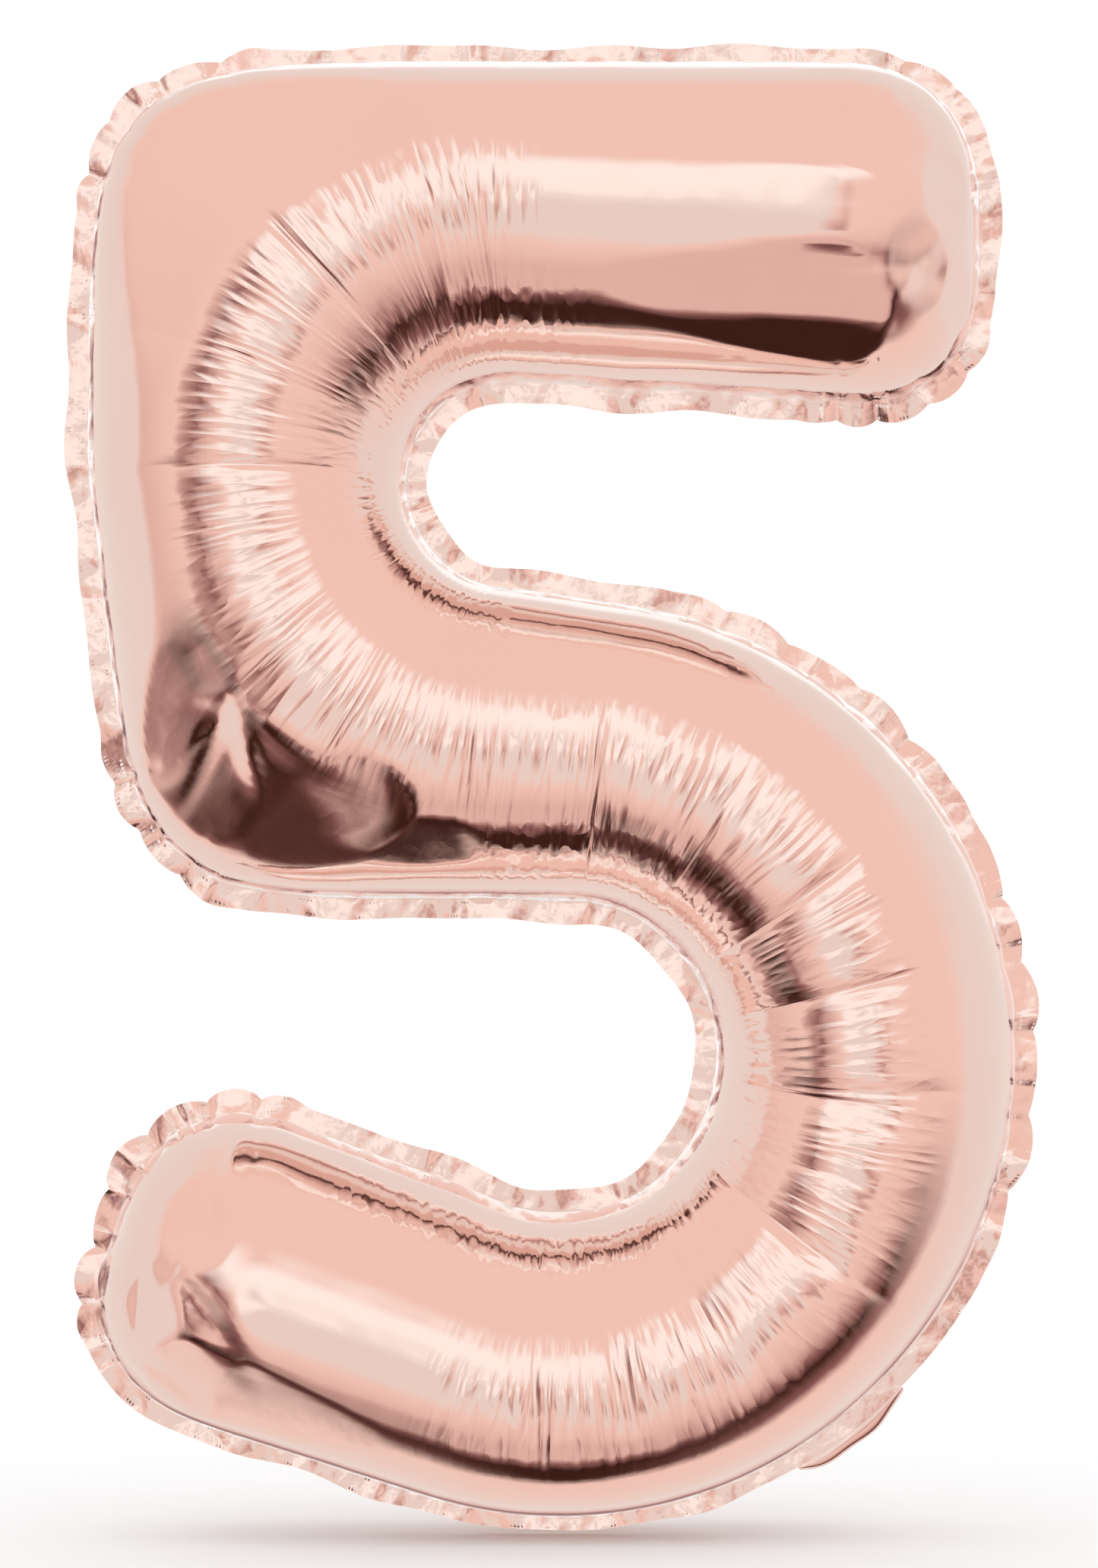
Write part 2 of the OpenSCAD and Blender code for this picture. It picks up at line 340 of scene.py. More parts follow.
def seam_place(x, z):
    return seam_at[np.argmin(np.hypot(seam[:, 0] - x, seam[:, 1] - z))]


lobe = np.zeros(len(seam))
nick_at = []
for x0, z0, x1, z1, lobes, tall in LOBE_ROWS:
    start = seam_place(x0, z0)
    stop = seam_place(x1, z1)
    run = (stop - start + seam_total / 2) % seam_total - seam_total / 2
    share_along = ((seam_at - min(start, start + run)) % seam_total) / abs(run)
    inside = share_along <= 1
    uneven = LOBE_RNG.uniform(0.8, 1.25, lobes)
    edges = np.concatenate([[0], np.cumsum(uneven) / uneven.sum()])
    which = np.clip(np.searchsorted(edges, share_along, side="right") - 1, 0, lobes - 1)
    phase = (share_along - edges[which]) / (edges[which + 1] - edges[which])
    size = LOBE_RNG.uniform(0.75, 1.15, lobes)[which]
    bump = size * (np.abs(np.sin(np.pi * np.clip(phase, 0, 1))) ** 0.7 - 0.55)
    fade = np.clip(np.minimum(share_along, 1 - share_along) * lobes * 2, 0, 1)
    lobe = np.where(inside, tall * bump * fade, lobe)
    nick_at += [(min(start, start + run) + e * abs(run)) % seam_total for e in edges[1:-1]]
print("nicks in the rim:", len(nick_at))


def waves(at, lengths, seed):
    """A smooth random line that closes on itself: one sine for each wavelength."""
    rng = np.random.default_rng(seed)
    line = np.zeros(len(at))
    for length in lengths:
        turns = max(1, round(seam_total / length))
        line += np.sin(2 * np.pi * (turns * at / seam_total + rng.uniform()))
    return line / np.sqrt(len(lengths))


edge_wander = 0.9 * waves(seam_at, (150, 83, 61), 11)
calm = np.exp(-((np.linalg.norm(seam - TIE_POINT, axis=1) / 70) ** 4))
seam_shift = (0.55 * lobe + 0.5 * edge_wander) * (1 - calm)
edge_reach = RIM_W + (0.8 * lobe + edge_wander) * (1 - calm)
seam = seam + outward * seam_shift[:, None]

# %% Skin follows the seam's lobes
side_shift = np.zeros((rib_n, ACROSS + 1, 2))
shift_a = (outward * seam_shift[:, None])[:rib_n]
shift_b = (outward * seam_shift[:, None])[rib_n + ACROSS - 1:2 * rib_n + ACROSS - 1][::-1]
fade_in = np.clip(1 - turn_angle / 0.55, 0, 1) ** 2
side_shift += shift_a[:, None] * fade_in[None, :, None]
side_shift += shift_b[:, None] * fade_in[::-1][None, :, None]
tip_a = (outward * seam_shift[:, None])[rib_n:rib_n + ACROSS - 1]
tip_b = (outward * seam_shift[:, None])[2 * rib_n + ACROSS - 1:][::-1]
side_shift[-1, 1:ACROSS] = tip_a
side_shift[0, 1:ACROSS] = tip_b
plane = plane + side_shift

# %% [markdown]
# The figure isn't quite flat when it is full: its front is a little hollow from top to bottom. So
# the crests of the front panel lie a little further out, towards the top and the foot.

# %% Crests of the front panel
MIDDLE_Z = (TOP_EDGE + RIM_W - BOWL_OUT_R - RIM_W) / 2
CREST_LEAN = 0.045
front_plane = plane.copy()
front_plane[..., 1] += CREST_LEAN * (plane[..., 1] - MIDDLE_Z) * height / PANEL_RISE
print("crest shift at the top, mm:", (front_plane - plane)[..., 1].max().round(1))

# %% [markdown]
# ## Creases
# Long creases cross the tube in the bends, and three groups of them run out from a point, where a
# tube's rounded end or a sharp corner folds. A crease is a sharp valley with round shoulders. One
# could sculpt them by hand, but a short list of lines is easier to change.

# %% Crease function
def crease_depth(points, start, stop, depth, half_w, full_start=False, full_stop=False):
    """Depth of one straight crease at each point: deepest on its line, nothing past its ends."""
    start = np.array(start, float)
    line = np.array(stop, float) - start
    length = np.linalg.norm(line)
    line /= length
    away = points - start
    share_on = (away @ line) / length
    off = np.abs(away @ np.array([-line[1], line[0]]))
    t = np.clip(share_on, 0, 1)
    first = 1.0 if full_start else np.clip(t / 0.3, 0, 1)
    last = 1.0 if full_stop else np.clip((1 - t) / 0.3, 0, 1)
    past = np.maximum(np.maximum(-share_on, share_on - 1), 0) * length
    ends = first * last
    ends = ends * ends * (3 - 2 * ends)
    return depth * ends * np.exp(-off / half_w) * np.exp(-past / half_w)


def bend_line(centre, degrees, r0, r1, lean=0.0):
    x0, z0 = polar(r0, degrees)
    x1, z1 = polar(r1, degrees + lean)
    return (centre[0] + x0, centre[1] + z0), (centre[0] + x1, centre[1] + z1)


# %% Creases across the bends
BOWL_CENTRE = np.array([0.0, 0.0])
# centre, angle, inner radius, outer radius, lean, depth, half width
BEND_CREASES = [
    (TURN_CENTRE, 113, 56, 190, -6, 1.2, 4.3),
    (TURN_CENTRE, 137, 60, 196, -2, 1.4, 4.3),
    (TURN_CENTRE, 180, 54, 206, 0, 1.4, 3.6),
    (TURN_CENTRE, 158, 70, 150, 3, 0.6, 3.6),
    (TURN_CENTRE, 214, 70, 190, 4, 1.0, 3.8),
    (TURN_CENTRE, 243, 62, 150, -4, 0.8, 3.8),
    (BOWL_CENTRE, 57, 100, 205, 7, 1.1, 4.3),
    (BOWL_CENTRE, 34, 92, 208, 1, 1.4, 4.3),
    (BOWL_CENTRE, 16, 88, 206, -1, 1.4, 4.3),
    (BOWL_CENTRE, -5, 86, 214, 2, 1.4, 4.3),
    (BOWL_CENTRE, -22, 96, 180, 3, 1.0, 3.8),
    (BOWL_CENTRE, -34, 110, 214, 0, 1.2, 4.3),
    (BOWL_CENTRE, -58, 100, 190, -3, 1.0, 3.8),
    (BOWL_CENTRE, -80, 95, 175, 3, 0.6, 3.8),
]
valley = np.zeros((rib_n, ACROSS + 1))
for centre, degrees, r0, r1, lean, depth, half in BEND_CREASES:
    start, stop = bend_line(centre, degrees, r0, r1, lean)
    valley += crease_depth(plane, start, stop, depth, half)
for place in nick_at:
    k = np.argmin(np.abs(seam_at - place))
    valley += crease_depth(plane, seam[k], seam[k] - 17 * outward[k], 1.0, 3.4, full_start=True)
print("deepest crease, mm:", valley.max().round(2))

# %% [markdown]
# Between the long creases, the inside of the bowl is a row of nearly flat panels, like the staves
# of a barrel. Each one bulges less than the round tube would, with a sharp line between two.

# %% Flat panels inside the bowl
STAVE_EDGES = np.array([82, 57, 34, 16, -5, -34, -58, -80, -96])
bearing_of = np.degrees(np.arctan2(plane[..., 1], plane[..., 0]))
stave = np.clip(np.searchsorted(-STAVE_EDGES, -bearing_of) - 1, 0, len(STAVE_EDGES) - 2)
stave_w = STAVE_EDGES[stave] - STAVE_EDGES[stave + 1]
stave_share = np.clip((STAVE_EDGES[stave] - bearing_of) / stave_w, 0, 1)
in_bowl = (~outer_is_a)[:, None] & (bearing_of < 82) & (bearing_of > -96)
inner_half = np.interp(share, (0.02, 0.14, 0.5, 0.66), (0, 1, 1, 0))
staves = 1.9 * (stave_w / 22) ** 2 * (2 * stave_share - 1) ** 2 * inner_half
valley += np.where(in_bowl, staves, 0)

# %% [markdown]
# ## Folds where the tube ends
# At the bar's end, the stem's foot and the hook's tip the film has to close over a round end, and
# it buckles into flat facets with sharp edges. A facet is made the way a flat is filed on a ball:
# lay a plane a little under the surface and keep whatever is lower. Each plane starts from the
# surface's own slope at that spot and is turned and leaned a few degrees, so it cuts only there.
# Long ridges and valleys with straight sides join the facets.

# %% Facets, ridges and valleys
def tent(points, start, stop, tall, half):
    """A straight fold with flat sides: tall on its line and nothing at half from it."""
    start = np.array(start, float)
    line = np.array(stop, float) - start
    length = np.linalg.norm(line)
    line /= length
    away = points - start
    on = np.clip(away @ line, 0, length)
    gap = np.linalg.norm(away - on[..., None] * line, axis=-1)
    width = half * np.interp(on / length, (0, 0.25, 1), (0.45, 1, 0.6))
    fade = np.interp(on / length, (0, 0.15, 0.45, 1), (0.7, 1, 0.9, 0)) ** 1.5
    return tall * fade * np.clip(1 - gap / width, 0, 1)


def level_at(surface, x, z):
    """Height and slope of the surface near a point."""
    near = np.hypot(plane[..., 0] - x, plane[..., 1] - z) < 6
    table = np.stack([plane[near][:, 0] - x, plane[near][:, 1] - z, np.ones(near.sum())], -1)
    return np.linalg.lstsq(table, surface[near], rcond=None)[0]


FACET_REACH = 48
FACET_FLAT = 20
FACET_SOFT = 0.25


def facet(surface, ends, depth, turn, lean):
    """Files a flat on the surface, depth under its middle, turned and leaned a little from its slope."""
    start, stop = np.array(ends[:2], float), np.array(ends[2:], float)
    middle = (start + stop) / 2
    slope_x, slope_z, level = level_at(surface, *middle)
    tilt = np.arctan(np.hypot(slope_x, slope_z)) + np.radians(lean)
    bearing = np.arctan2(-slope_z, -slope_x) + np.radians(turn)
    fall_x, fall_z = -np.tan(tilt) * np.cos(bearing), -np.tan(tilt) * np.sin(bearing)
    line = stop - start
    along_line = np.clip(((plane - start) @ line) / (line @ line + 1e-9), 0, 1)
    away = np.linalg.norm(plane - start - along_line[..., None] * line, axis=-1)
    cut = level - depth + fall_x * (plane[..., 0] - middle[0]) + fall_z * (plane[..., 1] - middle[1])
    cut = cut + 0.012 * np.clip(away - FACET_FLAT, 0, None) ** 2
    over = np.clip((surface - cut) / FACET_SOFT, -50, 200)
    return np.where(away < FACET_REACH, surface - FACET_SOFT * np.logaddexp(0, over), surface)


# start x, start z, end x, end z, height (a valley is negative), half width
RIDGES = [
    (210, 431, 60, 447, 2.2, 16), (172, 392, 70, 401, -1.6, 9), (171, 380, 209, 431, 1.8, 11),
    (168, 368, 10, 378, 1.3, 8), (176, 392, 214, 388, -1.6, 10),
    (-168, 181, -202, 109, -3.0, 9), (-168, 181, -206, 226, -1.6, 10), (-163, 172, -150, 128, 2.6, 8),
    (-158, 176, -96, 136, 2.6, 15), (-202, 109, -140, 96, 1.8, 10), (-180, 160, -198, 122, 1.5, 7),
    (-190, -104, -146, -160, -2.8, 13), (-166, -44, -170, -90, 2.4, 9), (-192, -101, -166, -80, 1.4, 10),
    (-216, -150, -165, -190, 2.2, 9), (-213, -92, -217, -148, -2.2, 8), (-192, -101, -213, -92, -1.8, 8),
]
# start x, z, end x, z, depth, change of bearing, change of tilt (degrees)
FACETS = [
    # The bar's end
    (24, 396, 160, 388, 2.2, 5, 10), (24, 364, 158, 355, 1.0, 4, -6),
    (186, 402, 192, 396, 2.8, -6, -4), (198, 428, 204, 420, 2.2, 6, -4),
    (205, 382, 206, 378, 1.6, 0, -6),
    # The stem's foot
    (-182, 132, -176, 126, 1.8, -4, 1), (-136, 114, -122, 112, 1.8, 4, 2),
    (-100, 104, -70, 104, 1.4, 2, -5), (-190, 152, -188, 146, 2.2, -10, 0),
    (-205, 186, -205, 170, 2.0, -8, 0), (-130, 138, -110, 136, 1.2, 8, -5),
    # The hook's end
    (-206, -158, -176, -178, 3.0, -6, -12), (-176, -140, -158, -160, 2.4, -4, 1),
    (-214, -108, -214, -134, 2.4, 0, -6), (-188, -84, -178, -70, 3.0, 2, 0),
    (-150, -170, -84, -188, 1.7, -5, -3),
]
folded_height = height.copy()
for *ends, depth, turn, lean in FACETS:
    folded_height = facet(folded_height, ends, depth, turn, lean)
for x0, z0, x1, z1, tall, half in RIDGES:
    folded_height += tent(plane, (x0, z0), (x1, z1), tall, half) * np.sin(turn_angle)[None] ** 0.5
folded_height = np.where(height > 0, np.maximum(folded_height, 0.02 * height), 0)
print("largest change from the folds, mm:", np.abs(folded_height - height).max().round(1))

# %% [markdown]
# ## Where the fine pleats are
# The film over a bend has more length than the bend needs, most of all towards its inner side. It
# takes this up in hundreds of short pleats, each a few millimetres wide, that run across the tube.
# So the pleats are strong round both bends and die out on the straight stretches. A second, finer
# set sits close to the inner seam. Two numbers at each point of the film say how strong each set is.

# %% Strength of the pleats
def soft_step(values, low, high):
    t = np.clip((values - low) / (high - low), 0, 1)
    return t * t * (3 - 2 * t)


def soft_window(values, start, stop, soft):
    return soft_step(values, start - soft, start + soft) * (1 - soft_step(values, stop - soft, stop + soft))


from_inner = (1 - share) * rib_w[:, None] / np.minimum(rib_w, 165)[:, None]
across_in = np.where(outer_is_a[:, None], from_inner, share)
ring = soft_window(across_in, 0.2, 0.7, 0.09) * np.interp(across_in, (0.32, 0.5), (0.4, 1.0))
along_bends = soft_window(along, turn_start - 6, hook_start + 6, 18)
pleat_depth = ring * along_bends[:, None]
from_seam = np.minimum(turn_angle, np.pi - turn_angle)[None]
inner_side = np.where(outer_is_a[:, None], turn_angle[None] > np.pi / 2, turn_angle[None] < np.pi / 2)
near_bends = soft_window(along, turn_start - 30, hook_start + 90, 30)
seam_depth = soft_window(from_seam, 0.3, 1.05, 0.2) * np.where(inner_side, 1.0, 0.15) * near_bends[:, None]
print("share of the skin with pleats:", (pleat_depth > 0.3).mean().round(2))

# %% [markdown]
# ## The rim
# The rim is flat in the cutting plan, but the gathered seam makes it wave in and out of the plane
# of the figure. Both panels and the weld between them follow one wavy surface, so they never
# cross. The waves are sums of a few sines, which gives the same uneven line on every run.

# %% Rim surface
RIM_ROWS = 6
HALF_GAP = 0.22


patchy = np.clip(waves(seam_at, (137, 89, 71), 25), 0, 1.5)
lobed = np.clip(around(np.abs(lobe)[:, None], 60)[:, 0], 0, 1)


def rim_wave(reach):
    """How far the rim stands out of the plane, at a share reach of its width."""
    slow = 1.1 * waves(seam_at, (97, 63, 41), 21) + 1.1 * lobe * np.sign(waves(seam_at, (83, 61), 26))
    quick = 0.3 * patchy * waves(seam_at, (19, 13.3, 10.1), 22)
    fine = 0.06 * patchy * waves(seam_at, (6.3, 4.7), 23)
    bow = np.sin(np.pi * reach) * 0.25 * waves(seam_at, (23, 17, 12.1), 24)
    back = 3.0 * lobed * reach
    return (slow * reach + quick * reach ** 0.8 + fine * np.clip(3 * reach, 0, 1) + bow + back) * (1 - calm)


def rim_row(reach):
    plane_point = seam + outward * (edge_reach * reach)[:, None]
    return plane_point, rim_wave(reach)


print("rim, mm: widest", edge_reach.max().round(1), " narrowest", edge_reach.min().round(1))

# %% [markdown]
# ## Building a panel's mesh
# The skin is a grid of ribs by steps across. The rim is a closed strip outside it that shares the
# grid's border. Writing the arrays straight into the mesh is much faster than adding faces one by
# one in bmesh, and the order of the points stays known.

# %% Mesh builder
def to_frame(plane_points, depth):
    """Points in the plane of the figure and their depth, in mm, as points of the frame in metres."""
    points = np.empty(plane_points.shape[:-1] + (3,))
    points[..., 0] = (plane_points[..., 0] - TIE_POINT[0]) * MM
    points[..., 1] = depth * MM
    points[..., 2] = (plane_points[..., 1] - TIE_POINT[1]) * MM
    return points


def mesh_object(name, points, quads, attributes=None):
    mesh = bpy.data.meshes.new(name)
    mesh.vertices.add(len(points))
    mesh.vertices.foreach_set("co", np.ascontiguousarray(points, np.float32).ravel())
    mesh.loops.add(4 * len(quads))
    mesh.loops.foreach_set("vertex_index", np.ascontiguousarray(quads, np.int32).ravel())
    mesh.polygons.add(len(quads))
    mesh.polygons.foreach_set("loop_start", 4 * np.arange(len(quads), dtype=np.int32))
    mesh.polygons.foreach_set("use_smooth", np.ones(len(quads), bool))
    mesh.update(calc_edges=True)
    for key, values in (attributes or {}).items():
        layer = mesh.attributes.new(key, "FLOAT", "POINT")
        layer.data.foreach_set("value", np.ascontiguousarray(values, np.float32).ravel())
    piece = bpy.data.objects.new(name, mesh)
    bpy.context.scene.collection.objects.link(piece)
    return piece


def grid_quads(rows, columns, closed=False):
    """Quads of a grid whose points are numbered row by row."""
    i = np.arange(rows if closed else rows - 1)[:, None]
    j = np.arange(columns - 1)[None]
    after = (i + 1) % rows
    quads = np.stack(np.broadcast_arrays(
        i * columns + j, i * columns + j + 1, after * columns + j + 1, after * columns + j), -1)
    return quads.reshape(-1, 4)


# %% [markdown]
# ## Pleats with Geometry Nodes
# The larger pleats are real shape, and the finest ones are left to the film's relief further down.
# Pleats that repeat along a surface are a job for Geometry Nodes. A Voronoi
# pattern that is stretched across the tube gives long, narrow cells with pointed ends. The edge
# between two cells becomes a sharp valley, and each cell a round pleat. Moving each point along
# its own normal keeps the pleats square to the film.

# %% Pleat tree
def new_input(tree, name, kind, value=None):
    made = tree.interface.new_socket(name=name, in_out="INPUT", socket_type=kind)
    if value is not None:
        made.default_value = value
    return made


def maths(tree, operation, first, second=None):
    node = tree.nodes.new("ShaderNodeMath")
    node.operation = operation
    for socket, value in zip(node.inputs, (first, second)):
        if isinstance(value, (int, float)):
            socket.default_value = value
        elif value is not None:
            tree.links.new(value, socket)
    return node.outputs[0]


def pleat_tree():
    tree = bpy.data.node_groups.new("Film pleats", "GeometryNodeTree")
    new_input(tree, "Geometry", "NodeSocketGeometry")
    new_input(tree, "Pitch", "NodeSocketFloat", 4.7)
    new_input(tree, "Length", "NodeSocketFloat", 46.0)
    new_input(tree, "Depth", "NodeSocketFloat", 0.8)
    new_input(tree, "Crease width", "NodeSocketFloat", 0.25)
    new_input(tree, "Shift", "NodeSocketFloat", 0.0)
    new_input(tree, "Mask", "NodeSocketString", "pleat")
    new_input(tree, "Material", "NodeSocketMaterial")
    tree.interface.new_socket(name="Geometry", in_out="OUTPUT", socket_type="NodeSocketGeometry")
    given = tree.nodes.new("NodeGroupInput").outputs
    read = {}
    for key in ("along_mm", "across_mm", "mask"):
        node = tree.nodes.new("GeometryNodeInputNamedAttribute")
        node.data_type = "FLOAT"
        node.inputs["Name"].default_value = key
        read[key] = node.outputs["Attribute"]
        if key == "mask":
            tree.links.new(given["Mask"], node.inputs["Name"])
    u = maths(tree, "ADD", maths(tree, "DIVIDE", read["along_mm"], given["Pitch"]), given["Shift"])
    v = maths(tree, "DIVIDE", read["across_mm"], given["Length"])
    place = tree.nodes.new("ShaderNodeCombineXYZ")
    tree.links.new(u, place.inputs["X"])
    tree.links.new(v, place.inputs["Y"])
    cells = tree.nodes.new("ShaderNodeTexVoronoi")
    cells.voronoi_dimensions = "2D"
    cells.feature = "DISTANCE_TO_EDGE"
    cells.inputs["Scale"].default_value = 1.0
    cells.inputs["Randomness"].default_value = 0.85
    tree.links.new(place.outputs[0], cells.inputs["Vector"])
    fall = maths(tree, "DIVIDE", cells.outputs["Distance"], given["Crease width"])
    valley_shape = maths(tree, "EXPONENT", maths(tree, "MULTIPLY", fall, -1.0))
    sink = maths(tree, "MULTIPLY", maths(tree, "MULTIPLY", valley_shape, read["mask"]), given["Depth"])
    offset = tree.nodes.new("ShaderNodeVectorMath")
    offset.operation = "SCALE"
    tree.links.new(tree.nodes.new("GeometryNodeInputNormal").outputs[0], offset.inputs[0])
    tree.links.new(maths(tree, "MULTIPLY", sink, -MM), offset.inputs["Scale"])
    move = tree.nodes.new("GeometryNodeSetPosition")
    tree.links.new(given["Geometry"], move.inputs["Geometry"])
    tree.links.new(offset.outputs[0], move.inputs["Offset"])
    whole = tree.nodes.new("GeometryNodeRealizeInstances")
    tree.links.new(move.outputs[0], whole.inputs[0])
    finish = tree.nodes.new("GeometryNodeSetMaterial")
    tree.links.new(whole.outputs[0], finish.inputs["Geometry"])
    tree.links.new(given["Material"], finish.inputs["Material"])
    tree.links.new(finish.outputs[0], tree.nodes.new("NodeGroupOutput").inputs[0])
    return tree


def run_tree(piece, tree, values):
    """Applies a Geometry Nodes tree to a piece and leaves a plain mesh."""
    modifier = piece.modifiers.new(tree.name, "NODES")
    modifier.node_group = tree
    for item in tree.interface.items_tree:
        if item.item_type == "SOCKET" and item.in_out == "INPUT" and item.name in values:
            modifier[item.identifier] = values[item.name]
    shown = piece.evaluated_get(bpy.context.evaluated_depsgraph_get())
    made = bpy.data.meshes.new_from_object(shown)
    piece.modifiers.clear()
    piece.data = made
    return piece


PLEATS = pleat_tree()
print("pleat tree:", len(PLEATS.nodes), "nodes")

# %% [markdown]
# ## Materials
# Metallised film is a mirror with a colour. What one sees on it is the room, so its roughness is
# low and most of the work is in the light. The real film still isn't perfect: it has a fine grain
# and slow changes of tone, which one shared node group adds to every finish. The finest pleats are
# narrower than the mesh can hold, so the foil's finish adds them as relief, from the same numbers
# along and across the film that the shape's own pleats use.
# In the film's own reflections its colour is painted paler, and after two reflections it glows a plain pale
# colour: painted light.

# %% Node helpers
def new_material(name):
    material = bpy.data.materials.new(name)
    material.use_nodes = True
    nodes = material.node_tree.nodes
    nodes.clear()
    shader = nodes.new("ShaderNodeBsdfPrincipled")
    output = nodes.new("ShaderNodeOutputMaterial")
    material.node_tree.links.new(shader.outputs[0], output.inputs["Surface"])
    return material, shader


def grain_group():
    """Fine grain of the metal layer and slow changes of tone over the sheet."""
    tree = bpy.data.node_groups.new("Film grain", "ShaderNodeTree")
    for name, value in (("Grain size", 0.0009), ("Grain", 0.5), ("Tone size", 0.05), ("Tone", 0.5)):
        new_input(tree, name, "NodeSocketFloat", value)
    for name in ("Grain mask", "Tone mask"):
        tree.interface.new_socket(name=name, in_out="OUTPUT", socket_type="NodeSocketFloat")
    given = tree.nodes.new("NodeGroupInput").outputs
    out = tree.nodes.new("NodeGroupOutput").inputs
    where = tree.nodes.new("ShaderNodeTexCoord").outputs["Object"]
    for size, strength, mask in (("Grain size", "Grain", "Grain mask"), ("Tone size", "Tone", "Tone mask")):
        noise = tree.nodes.new("ShaderNodeTexNoise")
        noise.inputs["Detail"].default_value = 3.0
        tree.links.new(where, noise.inputs["Vector"])
        tree.links.new(maths(tree, "DIVIDE", 1.0, given[size]), noise.inputs["Scale"])
        centred = maths(tree, "SUBTRACT", noise.outputs["Fac"], 0.5)
        tree.links.new(maths(tree, "MULTIPLY", centred, given[strength]), out[mask])
    return tree


GRAIN = grain_group()


def add_group(material, tree, **values):
    node = material.node_tree.nodes.new("ShaderNodeGroup")
    node.node_tree = tree
    for name, value in values.items():
        node.inputs[name.replace("_", " ")].default_value = value
    return node.outputs


def mixed_colour(tree, share, low, high):
    node = tree.nodes.new("ShaderNodeMix")
    node.data_type = "RGBA"
    node.inputs["A"].default_value = (*low, 1)
    node.inputs["B"].default_value = (*high, 1)
    tree.links.new(share, node.inputs["Factor"])
    return node.outputs["Result"]


def read_attribute(tree, name):
    node = tree.nodes.new("ShaderNodeAttribute")
    node.attribute_name = name
    return node.outputs["Fac"]


def noise_at(tree, where, scale, detail):
    node = tree.nodes.new("ShaderNodeTexNoise")
    node.inputs["Scale"].default_value = scale
    node.inputs["Detail"].default_value = detail
    tree.links.new(where, node.inputs["Vector"])
    return node.outputs["Fac"]


def film_place(tree, pitch, length):
    """A place on the film, counted in pitches along it and in lengths across it."""
    place = tree.nodes.new("ShaderNodeCombineXYZ")
    tree.links.new(maths(tree, "DIVIDE", read_attribute(tree, "along_mm"), pitch), place.inputs["X"])
    tree.links.new(maths(tree, "DIVIDE", read_attribute(tree, "across_mm"), length), place.inputs["Y"])
    return place.outputs[0]


def masked(tree, relief, tall, mask):
    return maths(tree, "MULTIPLY", maths(tree, "MULTIPLY", relief, tall), mask)


def pleat_relief(tree, pitch, length, tall, mask):
    """Round pleats with sharp valleys: the absolute value of a noise stretched across the tube."""
    noise = noise_at(tree, film_place(tree, pitch, length), 1.0, 1.0)
    return masked(tree, maths(tree, "ABSOLUTE", maths(tree, "SUBTRACT", noise, 0.5)), tall, mask)


def even_pleats(tree, pitch, tall, mask):
    """A row of nearly even pleats: a rectified sine whose spacing and height wander."""
    drift = maths(tree, "MULTIPLY", noise_at(tree, film_place(tree, 30.0, 260.0), 1.0, 0.0), 5.0)
    count = maths(tree, "DIVIDE", read_attribute(tree, "along_mm"), pitch)
    phase = maths(tree, "MULTIPLY", maths(tree, "ADD", count, drift), np.pi)
    wave = maths(tree, "ABSOLUTE", maths(tree, "SINE", phase))
    strength = maths(tree, "ABSOLUTE", maths(tree, "SINE", maths(tree, "MULTIPLY", drift, 2.3)))
    return masked(tree, wave, maths(tree, "MULTIPLY", strength, tall), mask)


def crinkle_relief(tree, size, tall, mask):
    """Small round dents of one size, in object space."""
    where = tree.nodes.new("ShaderNodeTexCoord").outputs["Object"]
    return masked(tree, noise_at(tree, where, 1 / (size * MM), 1.0), tall, mask)


# %% Rose gold film
# What across_mm says on the rim, which has no place across the tube
ON_RIM = -10.0
# Colour that the film glows with when seen after two reflections: painted light, not the film's own colour
PAINTED_GLOW_LOW = (0.80, 0.70, 0.68)
PAINTED_GLOW_HIGH = (0.86, 0.77, 0.75)


